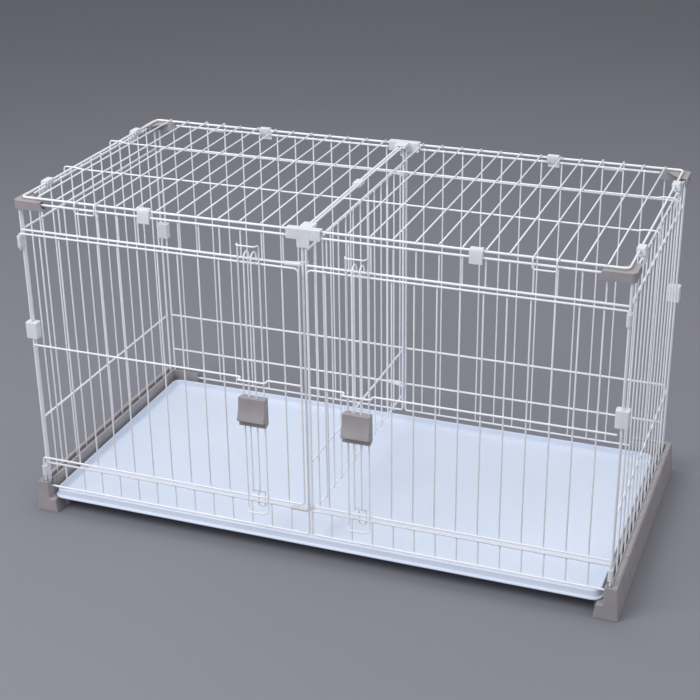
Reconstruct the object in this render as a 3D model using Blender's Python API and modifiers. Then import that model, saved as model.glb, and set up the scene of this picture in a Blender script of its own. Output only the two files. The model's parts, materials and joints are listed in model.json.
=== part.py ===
"""Two-bay wire pet crate: welded wire panels on a plastic base, with a slide-out tray, a lift-off wire roof,
two hinged doors with lifting bolt latches, and a removable wire divider between the bays.

Metres, +Z up. The floor is z = 0, the doors face -Y, and the origin is under the middle of the whole object.
"""

import math

import bmesh
import bpy
from mathutils import Matrix, Vector

# Overall sizes
BAY_WIDTH = 0.600
BAY_DEPTH = 0.580
BAR_GAPS = 14

# Wire
FRAME_WIRE = 0.0045
DOOR_WIRE = 0.0040
BAR_WIRE = 0.0032
WELD_SINK = 0.0008
BAR_OVERHANG = 0.0020

# Heights of the horizontal wires
BOTTOM_Z = 0.054
BASE_TOP_Z = 0.070
FOOTER_Z = BASE_TOP_Z + 0.039
BACK_FOOTER_Z = BASE_TOP_Z + 0.053
LOW_Z = 0.213
TOP_Z = 0.686
HEADER_Z = TOP_Z - 0.056
ROOF_Z = TOP_Z + 0.011

# Places of the panels
SIDE_POST_GAP = 0.008
BACK_POST_INSET = 0.008
CENTRE_POST_X = 0.0035
ROOF_INSET_X = 0.0065
ROOF_INSET_Y = 0.0040
ROOF_INNER_X = 0.0036
ROOF_CORNER = 0.009
ROOF_INNER_CORNER = 0.004
ROOF_RAIL_Y = 0.0967
ROOF_HOOK_REACH = 0.0105
ROOF_HOOK_BOTTOM_Z = TOP_Z - 0.006
RAIL_SINK = 0.0024
LOOP_FIRST = 3
LOOP_REACH = 0.0080
LOOP_BOTTOM_Z = TOP_Z - 0.007

# Doors
DOOR_OFFSET = 0.0095
DOOR_TOP_Z = HEADER_Z - 0.005
DOOR_BOTTOM_Z = FOOTER_Z + 0.0165
DOOR_MID_Z = 0.386
DOOR_EDGE_X = 0.0085
DOOR_CORNER = 0.009
PIN_OUTSET = 0.001
PIN_BEND = 0.005
TOP_PIN_END_Z = HEADER_Z - 0.040
BOTTOM_PIN_END_Z = BASE_TOP_Z - 0.006
MID_WIRE_GAP = 0.0053

# Latches: two of the door's bars run on above and below it as guides, and the bolt slides in front of them
GUIDE_FIRST = 11
GUIDE_TOP_Z = HEADER_Z + 0.033
GUIDE_BOTTOM_Z = FOOTER_Z - 0.013
GUIDE_REACH = 0.012
GUIDE_BEND = 0.004
BOLT_SPREAD = 0.0073
BOLT_FRONT_GAP = 0.0060
BOLT_BACK_GAP = 0.0065
HOOK_TIP_Z = HEADER_Z - 0.014
BOLT_STEP_HIGH_Z = FOOTER_Z + 0.033
BOLT_STEP_LOW_Z = FOOTER_Z + 0.021
BOLT_FOOT_Z = FOOTER_Z - 0.0145
MID_JOG = 0.0140
MID_JOG_BEND = 0.0030
GRIP_BOTTOM_Z = 0.290
GRIP_TOP_Z = 0.350
GRIP_WALL = 0.0022
GRIP_DEPTH = 0.0190
LIP_Z = 0.3065
LIP_REACH = 0.0100
LIP_THICKNESS = 0.0032
GRIP_PLAY = 0.0004

# Hinge sleeves, corner clips, roof clips and connectors
SLEEVE_HEIGHT = 0.023
TOP_SLEEVE_Z = HEADER_Z - 0.0335
BOTTOM_SLEEVE_Z = BASE_TOP_Z + 0.0125
SLEEVE_WALL = 0.0026
CORNER_CLIP_FRONT_Z = 0.414
CORNER_CLIP_BACK_Z = 0.430
CORNER_CLIP_HEIGHT = 0.034
CORNER_CLIP_WALL = 0.0055
CORNER_CLIP_HALF = 0.0125
ROOF_CLIP_GAP = 6.4
ROOF_CLIP_SIDE_GAP = 2.5
ROOF_CLIP_LENGTH = 0.024
ROOF_CLIP_WALL = 0.0026
ROOF_CLIP_DROP = 0.0115
CONNECTOR_HALF = 0.0340
CONNECTOR_WALL = 0.0018
CONNECTOR_BOTTOM_Z = TOP_Z - 0.0050
CONNECTOR_TOP_Z = TOP_Z + 0.0160
CONNECTOR_REACH = 0.0040
DOME_LENGTH = 0.026
DOME_HALF = 0.0125
TONGUE_HALF = 0.0125
TONGUE_BOTTOM_Z = TOP_Z - 0.020

# Divider between the bays and its joints
DIVIDER_END_GAP = 0.0100
DIVIDER_TOP_Z = HEADER_Z + 0.025
DIVIDER_BOTTOM_Z = FOOTER_Z - 0.011
JOINT_LENGTH = 0.032
JOINT_WALL = 0.0021
JOINT_FIN = 0.006

# Corner caps
CAP_ARM_X = 0.0650
CAP_ARM_Y = 0.0580
CAP_SLANT = 0.0060
CAP_WALL = 0.0024
CAP_ROOM = 0.0058
CAP_BOTTOM_Z = TOP_Z - 0.0110
CAP_TOP_Z = TOP_Z + 0.0070
CAP_TOP_WALL = 0.0020
CAP_GUSSET = 0.030
CAP_CORNER = 0.009

# Base: feet at the corners and a rail along each side
FOOT_LENGTH = 0.120
FOOT_REACH = 0.0225
FOOT_TOP_REACH = 0.0165
FOOT_FRONT_REACH = 0.0190
FOOT_INNER = 0.0080
FOOT_BLOCK = 0.045
FOOT_LEAN = 0.0025
FOOT_STEP = 0.0220
FOOT_STEP_FLARE = 0.0045
FOOT_STEP_LENGTH = 0.040
BACK_ARM = 0.095
BACK_REACH = 0.0190
BACK_ARM_FACE = 0.0150
RAIL_LIFT = 0.002
RAIL_INNER = 0.0100
RAIL_SKIRT = 0.0030
GROOVE_INNER = 0.0035
GROOVE_OUTER = 0.0057
GROOVE_FLOOR_Z = 0.051
LEDGE_Z = 0.0310
LEDGE_THICKNESS = 0.0050
LEDGE_REACH = 0.028
SOCKET_RADIUS = 0.0042
SOCKET_DEPTH = 0.018

# Tray
TRAY_SIDE_GAP = 0.0165
TRAY_BACK_GAP = 0.0155
TRAY_BOTTOM_Z = 0.0315
TRAY_TOP_Z = 0.0505
TRAY_WALL = 0.0035
TRAY_FLOOR = 0.0030
TRAY_CORNER = 0.018
TRAY_LIP_REACH = 0.005
TRAY_LIP = 0.0045
TRAY_FRONT_REACH = 0.005

FIT = 0.0004
SEAM = 0.0006
FOOT_SEAM = 0.0012

# Derived places
BAR_PITCH = BAY_WIDTH / BAR_GAPS
SIDE_PITCH = BAY_DEPTH / BAR_GAPS
MID_JOG_HALF = 0.66 * BAR_PITCH
GRIP_WIDTH = 1.307 * BAR_PITCH
HALF_WIDTH = BAY_WIDTH
FRONT_REACH = DOOR_OFFSET - DOOR_WIRE / 2 + GRIP_DEPTH + LIP_REACH
MIDDLE_Y = (FRONT_REACH - BACK_REACH) / 2
FRONT_Y = MIDDLE_Y - BAY_DEPTH / 2
BACK_Y = MIDDLE_Y + BAY_DEPTH / 2
FRAME_R = FRAME_WIRE / 2
DOOR_R = DOOR_WIRE / 2
BAR_R = BAR_WIRE / 2
FRAME_BAR_OFFSET = FRAME_R + BAR_R - WELD_SINK
DOOR_BAR_OFFSET = DOOR_R + BAR_R - WELD_SINK
DOOR_Y = FRONT_Y - DOOR_OFFSET
DOOR_BAR_Y = DOOR_Y + DOOR_BAR_OFFSET
GUIDE_Y = DOOR_Y - DOOR_BAR_OFFSET
BOLT_FRONT_Y = GUIDE_Y - BOLT_FRONT_GAP
BOLT_BACK_Y = FRONT_Y + BOLT_BACK_GAP
PIN_X = HALF_WIDTH + PIN_OUTSET
GRIP_BACK_Y = DOOR_Y + DOOR_R
GRIP_FACE_Y = GRIP_BACK_Y - GRIP_DEPTH
GRIP_PARTING_Y = (GUIDE_Y + BOLT_FRONT_Y) / 2
TRAY_HALF = HALF_WIDTH - TRAY_SIDE_GAP
BASE_FRONT_Y = FRONT_Y - FOOT_FRONT_REACH
BASE_BACK_Y = BACK_Y + BACK_REACH

WIRE_WHITE = ("powder_coated_wire", (0.80, 0.79, 0.76, 1.0), 0.35, 0.0, 1.0)
BASE_BEIGE = ("warm_grey_plastic", (0.33, 0.30, 0.28, 1.0), 0.5, 0.0, 1.0)
CLIP_CLEAR = ("translucent_plastic", (0.75, 0.79, 0.82, 1.0), 0.35, 0.0, 0.6)
TRAY_WHITE = ("glossy_tray_plastic", (0.76, 0.82, 0.90, 1.0), 0.2, 0.0, 1.0)


def clear_scene():
    for obj in list(bpy.data.objects):
        bpy.data.objects.remove(obj, do_unlink=True)


def new_collection(name):
    collection = bpy.data.collections.new(name)
    bpy.context.scene.collection.children.link(collection)
    return collection


clear_scene()
PARTS = new_collection("wire_pet_crate")
CUTTERS = new_collection("cutters")


# Solids


def add_object(name, mesh, collection):
    obj = bpy.data.objects.new(name, mesh)
    collection.objects.link(obj)
    return obj


def evaluated_mesh(obj):
    """The object's shape with its modifiers, as a welded mesh in world space."""
    bpy.context.view_layer.update()
    graph = bpy.context.evaluated_depsgraph_get()
    mesh = bpy.data.meshes.new_from_object(obj.evaluated_get(graph))
    mesh.transform(obj.matrix_world)
    shape = bmesh.new()
    shape.from_mesh(mesh)
    bmesh.ops.remove_doubles(shape, verts=shape.verts, dist=1e-6)
    bmesh.ops.recalc_face_normals(shape, faces=shape.faces)
    shape.to_mesh(mesh)
    shape.free()
    return mesh


def made_solid(obj):
    """Replaces a curve, or a mesh with modifiers, by a plain mesh object at the world's origin."""
    mesh = evaluated_mesh(obj)
    bpy.data.objects.remove(obj, do_unlink=True)
    return add_object("solid", mesh, CUTTERS)


def block(low, high, bevel=0.0):
    low, high = Vector(low), Vector(high)
    shape = bmesh.new()
    bmesh.ops.create_cube(shape, size=1.0)
    bmesh.ops.scale(shape, vec=high - low, verts=shape.verts)
    bmesh.ops.translate(shape, vec=(low + high) / 2, verts=shape.verts)
    mesh = bpy.data.meshes.new("block")
    shape.to_mesh(mesh)
    shape.free()
    obj = add_object("block", mesh, CUTTERS)
    if bevel:
        rounding = obj.modifiers.new("rounding", "BEVEL")
        rounding.width = bevel
        rounding.segments = 2
        obj = made_solid(obj)
    return obj


def rod(start, end, radius, sides=16):
    start, end = Vector(start), Vector(end)
    length = (end - start).length
    shape = bmesh.new()
    bmesh.ops.create_cone(shape, cap_ends=True, segments=sides, radius1=radius, radius2=radius, depth=length)
    turn = Vector((0, 0, 1)).rotation_difference(end - start).to_matrix().to_4x4()
    shape.transform(Matrix.Translation((start + end) / 2) @ turn)
    mesh = bpy.data.meshes.new("rod")
    shape.to_mesh(mesh)
    shape.free()
    return add_object("rod", mesh, CUTTERS)


def prism(outlines, low, high, axis):
    """Flat outlines, the first of them the outside and the others holes, extruded along an axis."""
    curve = bpy.data.curves.new("outline", "CURVE")
    curve.dimensions = "2D"
    curve.fill_mode = "BOTH"
    curve.extrude = (high - low) / 2
    for outline in outlines:
        spline = curve.splines.new("POLY")
        spline.points.add(len(outline) - 1)
        for point, (u, v) in zip(spline.points, outline):
            point.co = (u, v, 0.0, 1.0)
        spline.use_cyclic_u = True
    middle = (low + high) / 2
    columns = {
        "X": ((0, 1, 0), (0, 0, 1), (1, 0, 0)),
        "Y": ((1, 0, 0), (0, 0, 1), (0, -1, 0)),
        "Z": ((1, 0, 0), (0, 1, 0), (0, 0, 1)),
    }[axis]
    turn = Matrix(columns).transposed().to_4x4()
    shift = {"X": (middle, 0, 0), "Y": (0, middle, 0), "Z": (0, 0, middle)}[axis]
    obj = add_object("prism", curve, CUTTERS)
    obj.matrix_world = Matrix.Translation(shift) @ turn
    return made_solid(obj)


def circle(u, v, radius, sides=16):
    angles = [2 * math.pi * (step + 0.5) / sides for step in range(sides)]
    return [(u + radius * math.cos(angle), v + radius * math.sin(angle)) for angle in angles]


def arc(u, v, radius, start, end, steps=4):
    angles = [math.radians(start + (end - start) * step / steps) for step in range(steps + 1)]
    return [(u + radius * math.cos(angle), v + radius * math.sin(angle)) for angle in angles]


def rounded_rectangle(low, high, radius, steps=4):
    (u0, v0), (u1, v1) = low, high
    return (
        arc(u1 - radius, v1 - radius, radius, 0, 90, steps)
        + arc(u0 + radius, v1 - radius, radius, 90, 180, steps)
        + arc(u0 + radius, v0 + radius, radius, 180, 270, steps)
        + arc(u1 - radius, v0 + radius, radius, 270, 360, steps)
    )


def wires(runs, diameter, detail=0, cyclic=False):
    """One mesh of separate round wires, each along its own run of points. Detail 0 is 4 sides, and 1 is 6."""
    curve = bpy.data.curves.new("wires", "CURVE")
    curve.dimensions = "3D"
    curve.bevel_depth = diameter / 2
    curve.bevel_resolution = detail
    curve.use_fill_caps = True
    for run in runs:
        spline = curve.splines.new("POLY")
        spline.points.add(len(run) - 1)
        for point, place in zip(spline.points, run):
            point.co = (*place, 1.0)
        spline.use_cyclic_u = cyclic
    return made_solid(add_object("wires", curve, CUTTERS))


def add_boolean(obj, other, operation):
    modifier = obj.modifiers.new(operation.lower(), "BOOLEAN")
    modifier.operation = operation
    modifier.solver = "EXACT"
    modifier.object = other


def fused(pieces):
    """One solid from pieces that overlap."""
    body = pieces[0]
    for piece in pieces[1:]:
        add_boolean(body, piece, "UNION")
    mesh = evaluated_mesh(body)
    for piece in pieces:
        bpy.data.objects.remove(piece, do_unlink=True)
    return add_object("fused", mesh, CUTTERS)


def cut(obj, cutters):
    """Takes the cutters out of the object. They stay in the scene as wire outlines."""
    for number, cutter in enumerate(cutters):
        add_boolean(obj, cutter, "DIFFERENCE")
        cutter.name = f"{obj.name}_cutter_{number}"
        cutter.hide_render = True
        cutter.display_type = "WIRE"
    return obj


def material_of(kind):
    name, colour, roughness, metallic, alpha = kind
    if name in bpy.data.materials:
        return bpy.data.materials[name]
    material = bpy.data.materials.new(name)
    material.use_nodes = True
    shader = material.node_tree.nodes["Principled BSDF"]
    shader.inputs["Base Color"].default_value = colour
    shader.inputs["Roughness"].default_value = roughness
    shader.inputs["Metallic"].default_value = metallic
    shader.inputs["Alpha"].default_value = alpha
    material.diffuse_color = colour
    return material


def part(name, obj, kind):
    """Names a solid, gives it its material and moves it to the collection of parts."""
    obj.name = name
    obj.data.name = name
    obj.data.materials.clear()
    obj.data.materials.append(material_of(kind))
    obj.data.shade_smooth()
    obj.data.set_sharp_from_angle(angle=math.radians(35))
    CUTTERS.objects.unlink(obj)
    PARTS.objects.link(obj)
    return obj


def joint_frame(name, place, children):
    """An empty on a joint's axis, which carries the pieces that move with it."""
    frame = bpy.data.objects.new(name, None)
    PARTS.objects.link(frame)
    frame.location = place
    bpy.context.view_layer.update()
    for child in children:
        child.parent = frame
        child.matrix_parent_inverse = frame.matrix_world.inverted()
    return frame


def side_name(side):
    return "left" if side < 0 else "right"


def end_name(end):
    return "front" if end < 0 else "back"


def wall_y_at(end):
    return FRONT_Y if end < 0 else BACK_Y


# Wire panels


def bar_x(side, gap):
    """Place of an upright bar in a bay, counted from the outer post."""
    return side * (HALF_WIDTH - gap * BAR_PITCH)


def bar_y(gap):
    """Place of an upright bar of a side panel, counted from the front."""
    return FRONT_Y + gap * SIDE_PITCH


def front_frame(side):
    """Posts, four rails and the short bars above and below the doorway."""
    outer, inner = side * HALF_WIDTH, side * CENTRE_POST_X
    rails = [[(outer, FRONT_Y, z), (inner, FRONT_Y, z)] for z in (BOTTOM_Z, FOOTER_Z, HEADER_Z, TOP_Z)]
    posts = [[(x, FRONT_Y, BOTTOM_Z - FRAME_R), (x, FRONT_Y, TOP_Z + FRAME_R)] for x in (outer, inner)]
    bar_plane = FRONT_Y + FRAME_BAR_OFFSET
    bars = []
    for gap in range(1, BAR_GAPS):
        x = bar_x(side, gap)
        bars.append([(x, bar_plane, BOTTOM_Z - BAR_R / 2), (x, bar_plane, FOOTER_Z + BAR_R / 2)])
        bars.append([(x, bar_plane, HEADER_Z - BAR_R / 2), (x, bar_plane, TOP_Z + BAR_R / 2)])
    solid = fused([wires(rails, FRAME_WIRE, 1), wires(posts, FRAME_WIRE, 1), wires(bars, BAR_WIRE)])
    return part(f"front_frame_{side_name(side)}", solid, WIRE_WHITE)


def back_panel(side):
    outer, inner = side * (HALF_WIDTH - BACK_POST_INSET), side * CENTRE_POST_X
    levels = (BOTTOM_Z, BACK_FOOTER_Z, LOW_Z, HEADER_Z, TOP_Z)
    rails = [[(outer, BACK_Y, z), (inner, BACK_Y, z)] for z in levels]
    low, high = BOTTOM_Z - BAR_OVERHANG, TOP_Z + BAR_OVERHANG
    posts = [[(x, BACK_Y, BOTTOM_Z - FRAME_R), (x, BACK_Y, TOP_Z + FRAME_R)] for x in (outer, inner)]
    bar_plane = BACK_Y + FRAME_BAR_OFFSET
    bars = [
        [(bar_x(side, gap), bar_plane, low), (bar_x(side, gap), bar_plane, high)]
        for gap in range(1, BAR_GAPS)
    ]
    solid = fused([wires(rails, FRAME_WIRE, 1), wires(posts, FRAME_WIRE, 1), wires(bars, BAR_WIRE)])
    return part(f"back_panel_{side_name(side)}", solid, WIRE_WHITE)


def side_panel(side):
    x = side * HALF_WIDTH
    front, back = FRONT_Y + SIDE_POST_GAP, BACK_Y - SIDE_POST_GAP
    rails = [[(x, front, z), (x, back, z)] for z in (BOTTOM_Z, LOW_Z, HEADER_Z, TOP_Z)]
    posts = [[(x, y, BOTTOM_Z - FRAME_R), (x, y, TOP_Z + FRAME_R)] for y in (front, back)]
    bar_plane = side * (HALF_WIDTH + FRAME_BAR_OFFSET)
    low, high = BOTTOM_Z - BAR_OVERHANG, TOP_Z + BAR_OVERHANG
    bars = [
        [(bar_plane, bar_y(gap), low), (bar_plane, bar_y(gap), high)]
        for gap in range(1, BAR_GAPS)
    ]
    solid = fused([wires(rails, FRAME_WIRE, 1), wires(posts, FRAME_WIRE, 1), wires(bars, BAR_WIRE)])
    return part(f"side_panel_{side_name(side)}", solid, WIRE_WHITE)


def divider_panel():
    front, back = FRONT_Y + DIVIDER_END_GAP, BACK_Y - DIVIDER_END_GAP
    levels = (DIVIDER_BOTTOM_Z, LOW_Z, DIVIDER_TOP_Z)
    rails = [[(0, front + BAR_R / 3, z), (0, back - BAR_R / 3, z)] for z in levels]
    low, high = DIVIDER_BOTTOM_Z - FRAME_WIRE, DIVIDER_TOP_Z + FRAME_WIRE
    posts = [[(0, y, low), (0, y, high)] for y in (front, back)]
    uprights = [
        [(FRAME_BAR_OFFSET, bar_y(gap), low), (FRAME_BAR_OFFSET, bar_y(gap), high)]
        for gap in range(1, BAR_GAPS)
    ]
    solid = fused([wires(posts, FRAME_WIRE, 1), wires(rails, FRAME_WIRE, 1), wires(uprights, BAR_WIRE)])
    return part("divider_panel", solid, WIRE_WHITE)


def roof_loop_outline(side):
    """The roof half's frame in plan: wide corners outside, tight corners where the two halves meet."""
    outer, inner = HALF_WIDTH - ROOF_INSET_X, ROOF_INNER_X
    front, back = FRONT_Y + ROOF_INSET_Y, BACK_Y - ROOF_INSET_Y
    wide, tight = ROOF_CORNER, ROOF_INNER_CORNER
    points = arc(outer - wide, back - wide, wide, 0, 90, 4) + arc(inner + tight, back - tight, tight, 90, 180, 2)
    points += arc(inner + tight, front + tight, tight, 180, 270, 2) + arc(outer - wide, front + wide, wide, 270, 360, 4)
    return [(side * x, y, ROOF_Z) for x, y in points]


def roof_panel(side):
    """A rounded frame with cross bars on it, and two long wires whose outer ends hook over the side panel."""
    front, back = FRONT_Y + ROOF_INSET_Y, BACK_Y - ROOF_INSET_Y
    frame = wires([roof_loop_outline(side)], FRAME_WIRE, 1, cyclic=True)
    bar_z = ROOF_Z + FRAME_BAR_OFFSET
    bars = [
        [(bar_x(side, gap), front - BAR_R, bar_z), (bar_x(side, gap), back + BAR_R, bar_z)]
        for gap in range(1, BAR_GAPS)
        if gap not in (LOOP_FIRST, LOOP_FIRST + 1)
    ]
    pieces = [frame, wires(bars, BAR_WIRE), roof_loop(side, bar_z), roof_rails(side, bar_z)]
    return part(f"roof_panel_{side_name(side)}", fused(pieces), WIRE_WHITE)


def roof_loop(side, bar_z):
    """Two neighbouring cross bars run on over the frame, bend down and join in front of and behind the walls."""
    first, second = bar_x(side, LOOP_FIRST), bar_x(side, LOOP_FIRST + 1)
    front, back = FRONT_Y - LOOP_REACH, BACK_Y + LOOP_REACH

    def bend(x, y, outward):
        return [
            (x, y - outward * 0.0060, bar_z),
            (x, y - outward * 0.0015, bar_z - 0.0015),
            (x, y, bar_z - 0.0060),
            (x, y, LOOP_BOTTOM_Z),
        ]

    run = bend(first, front, -1)[::-1] + bend(first, back, 1)
    run += bend(second, back, 1)[::-1] + bend(second, front, -1)
    return wires([run], BAR_WIRE, 0, cyclic=True)


def roof_rails(side, bar_z):
    """Long wires under the cross bars, which rise over the frame's outer wire and hook down past the side panel."""
    rail_z = bar_z - RAIL_SINK
    outer = HALF_WIDTH - ROOF_INSET_X
    hook = HALF_WIDTH + ROOF_HOOK_REACH
    side_view = [
        (ROOF_INNER_X, rail_z),
        (outer - 0.0200, rail_z),
        (outer - 0.0080, bar_z),
        (hook - 0.0050, bar_z),
        (hook - 0.0010, bar_z - 0.0020),
        (hook, bar_z - 0.0070),
        (hook, ROOF_HOOK_BOTTOM_Z),
    ]
    places = (MIDDLE_Y - ROOF_RAIL_Y, MIDDLE_Y + ROOF_RAIL_Y)
    return wires([[(side * x, y, z) for x, z in side_view] for y in places], BAR_WIRE)


# Doors and latches


def latch_middle(side):
    return side * (HALF_WIDTH - (GUIDE_FIRST + 0.5) * BAR_PITCH)


def door_outline(side):
    """One wire: top pin, top edge, free edge, bottom edge, bottom pin."""
    pin, edge = PIN_X, DOOR_EDGE_X
    points = [(pin, TOP_PIN_END_Z)]
    points += arc(pin - PIN_BEND, DOOR_TOP_Z - PIN_BEND, PIN_BEND, 0, 90, 2)
    points += arc(edge + DOOR_CORNER, DOOR_TOP_Z - DOOR_CORNER, DOOR_CORNER, 90, 180, 3)
    points += arc(edge + DOOR_CORNER, DOOR_BOTTOM_Z + DOOR_CORNER, DOOR_CORNER, 180, 270, 3)
    points += arc(pin - PIN_BEND, DOOR_BOTTOM_Z - PIN_BEND, PIN_BEND, 90, 0, 2)
    points += [(pin, BOTTOM_PIN_END_Z)]
    return [(side * x, DOOR_Y, z) for x, z in points]


def door_guide(side):
    """A closed loop of bar wire in front of the door: two legs, joined at both ends by a crossbar that juts forward."""
    first, second = bar_x(side, GUIDE_FIRST), bar_x(side, GUIDE_FIRST + 1)
    inward = GUIDE_BEND if second > first else -GUIDE_BEND
    reach_y = GUIDE_Y - GUIDE_REACH

    def corner(x, step, z, bend):
        return [
            (x, GUIDE_Y, z - bend),
            (x + step / 4, GUIDE_Y - GUIDE_BEND / 2, z),
            (x + step, reach_y + GUIDE_BEND / 4, z),
            (x + 2 * step, reach_y, z),
        ]

    run = corner(first, inward, GUIDE_BOTTOM_Z, -GUIDE_BEND)[::-1]
    run += corner(first, inward, GUIDE_TOP_Z, GUIDE_BEND)
    run += corner(second, -inward, GUIDE_TOP_Z, GUIDE_BEND)[::-1]
    run += corner(second, -inward, GUIDE_BOTTOM_Z, -GUIDE_BEND)
    return [run]


def door_mid_wire(side):
    """A wire across the door that jogs forward to pass in front of the guide and the bolt."""
    middle = latch_middle(side)
    front, leg, bend = DOOR_Y - MID_JOG, MID_JOG_HALF, MID_JOG_BEND
    half = [(leg + bend, DOOR_Y), (leg, DOOR_Y - bend), (leg, front + bend), (leg - bend, front)]
    jog = [(middle + side * u, y, DOOR_MID_Z) for u, y in half]
    jog += [(middle - side * u, y, DOOR_MID_Z) for u, y in half[::-1]]
    ends = side * (HALF_WIDTH - MID_WIRE_GAP), side * DOOR_EDGE_X
    return [[(ends[0], DOOR_Y, DOOR_MID_Z), *jog, (ends[1], DOOR_Y, DOOR_MID_Z)]]


def door(side):
    low, high = DOOR_BOTTOM_Z - BAR_R / 2, DOOR_TOP_Z + BAR_R / 2
    bars = [
        [(bar_x(side, gap), DOOR_BAR_Y, low), (bar_x(side, gap), DOOR_BAR_Y, high)]
        for gap in range(1, BAR_GAPS)
        if gap not in (GUIDE_FIRST, GUIDE_FIRST + 1)
    ]
    solid = fused([
        wires([door_outline(side)], DOOR_WIRE, 1),
        wires(door_mid_wire(side), DOOR_WIRE, 1),
        wires(bars, BAR_WIRE),
        wires(door_guide(side), BAR_WIRE, 0, cyclic=True),
    ])
    return part(f"door_{side_name(side)}", solid, WIRE_WHITE)


def bolt_half(x):
    """From the hook's tip over the header rail, down in front of the door, then back and behind the footer rail."""
    radius = (BOLT_BACK_Y - BOLT_FRONT_Y) / 2
    middle_y = (BOLT_BACK_Y + BOLT_FRONT_Y) / 2
    points = [(BOLT_BACK_Y, HOOK_TIP_Z)]
    points += arc(middle_y, HEADER_Z + 0.003, radius, 0, 180, 6)
    points += [
        (BOLT_FRONT_Y, BOLT_STEP_HIGH_Z),
        (BOLT_BACK_Y, BOLT_STEP_LOW_Z),
        (BOLT_BACK_Y, BOLT_FOOT_Z + BOLT_SPREAD),
    ]
    return [(x, y, z) for y, z in points]


def latch_bolt(side):
    middle = latch_middle(side)
    foot = [
        (middle + u, BOLT_BACK_Y, BOLT_FOOT_Z + BOLT_SPREAD + v)
        for u, v in arc(0, 0, BOLT_SPREAD, 180, 360, 6)[1:-1]
    ]
    run = bolt_half(middle - BOLT_SPREAD) + foot + bolt_half(middle + BOLT_SPREAD)[::-1]
    return part(f"latch_bolt_{side_name(side)}", wires([run], BAR_WIRE, 1), WIRE_WHITE)


def grip_profile():
    """Side view of the grip's front half: a scooped face that ends in a finger lip over a recess."""
    steps = 5
    back, lip_y = GRIP_PARTING_Y - FIT / 2, GRIP_FACE_Y - LIP_REACH
    scoop = []
    for step in range(steps + 1):
        along = step / steps
        scoop.append((GRIP_FACE_Y + (lip_y - GRIP_FACE_Y) * along**2.2, GRIP_TOP_Z + (LIP_Z - GRIP_TOP_Z) * along))
    return [
        (back, GRIP_TOP_Z),
        *scoop,
        (lip_y, LIP_Z - LIP_THICKNESS),
        (GRIP_FACE_Y, LIP_Z - LIP_THICKNESS),
        (GRIP_FACE_Y, GRIP_BOTTOM_Z),
        (back, GRIP_BOTTOM_Z),
    ]


def latch_grip(side):
    """Two halves: the front one holds the bolt's two wires, and the back one slides on the guide's legs."""
    middle = latch_middle(side)
    low, high = middle - GRIP_WIDTH / 2, middle + GRIP_WIDTH / 2
    tall = (GRIP_BOTTOM_Z - 0.01, GRIP_TOP_Z + 0.01)
    front = part(f"latch_grip_front_{side_name(side)}", prism([grip_profile()], low, high, "X"), BASE_BEIGE)
    bolt_room = BAR_R + GRIP_PLAY
    ways = [
        block((x - bolt_room, BOLT_FRONT_Y - bolt_room, tall[0]), (x + bolt_room, GRIP_PARTING_Y + 0.01, tall[1]))
        for x in (middle - BOLT_SPREAD, middle + BOLT_SPREAD)
    ]
    cut(front, ways)
    back_half = block(
        (low + GRIP_WALL / 2, GRIP_PARTING_Y + FIT / 2, GRIP_BOTTOM_Z + GRIP_WALL / 2),
        (high - GRIP_WALL / 2, GRIP_BACK_Y, GRIP_TOP_Z - GRIP_WALL / 2),
    )
    back = part(f"latch_grip_back_{side_name(side)}", back_half, BASE_BEIGE)
    leg_room = BAR_R + 2 * GRIP_PLAY
    cut(back, [
        block((x - leg_room, GRIP_PARTING_Y - 0.01, tall[0]), (x + leg_room, GUIDE_Y + leg_room, tall[1]))
        for x in (middle - BAR_PITCH / 2, middle + BAR_PITCH / 2)
    ])
    return [front, back]


def stadium(start, end, radius, steps=6):
    """Outline of a strip with round ends from one centre to another."""
    (u0, v0), (u1, v1) = start, end
    heading = math.degrees(math.atan2(v1 - v0, u1 - u0))
    return arc(u1, v1, radius, heading - 90, heading + 90, steps) + arc(
        u0, v0, radius, heading + 90, heading + 270, steps
    )


def hinge_sleeve(side, level, low_z):
    """A sleeve for the door's pin that clips round the corner post."""
    post, pin = (side * HALF_WIDTH, FRONT_Y), (side * PIN_X, DOOR_Y)
    outline = stadium(post, pin, FRAME_R + SLEEVE_WALL)
    holes = [circle(*post, FRAME_R + FIT), circle(*pin, DOOR_R + FIT)]
    solid = prism([outline, *holes], low_z, low_z + SLEEVE_HEIGHT, "Z")
    return part(f"hinge_sleeve_{side_name(side)}_{level}", solid, CLIP_CLEAR)


# Plastic fittings of the walls and the roof


def corner_clip(side, end):
    """A block that clips the side panel's post to the front or back panel's post."""
    if end < 0:
        panel_post, wall_post = (side * HALF_WIDTH, FRONT_Y), (side * HALF_WIDTH, FRONT_Y + SIDE_POST_GAP)
    else:
        panel_post = (side * (HALF_WIDTH - BACK_POST_INSET), BACK_Y)
        wall_post = (side * HALF_WIDTH, BACK_Y - SIDE_POST_GAP)
    xs, ys = zip(panel_post, wall_post)
    low = (sum(xs) / 2 - CORNER_CLIP_HALF, min(ys) - CORNER_CLIP_WALL)
    high = (sum(xs) / 2 + CORNER_CLIP_HALF, max(ys) + CORNER_CLIP_WALL)
    holes = [circle(*panel_post, FRAME_R + FIT), circle(*wall_post, FRAME_R + FIT)]
    half = CORNER_CLIP_HEIGHT / 2
    middle_z = CORNER_CLIP_FRONT_Z if end < 0 else CORNER_CLIP_BACK_Z
    outline = rounded_rectangle(low, high, 0.003, 2)
    solid = prism([outline, *holes], middle_z - half, middle_z + half, "Z")
    return part(f"corner_clip_{end_name(end)}_{side_name(side)}", solid, CLIP_CLEAR)


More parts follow.
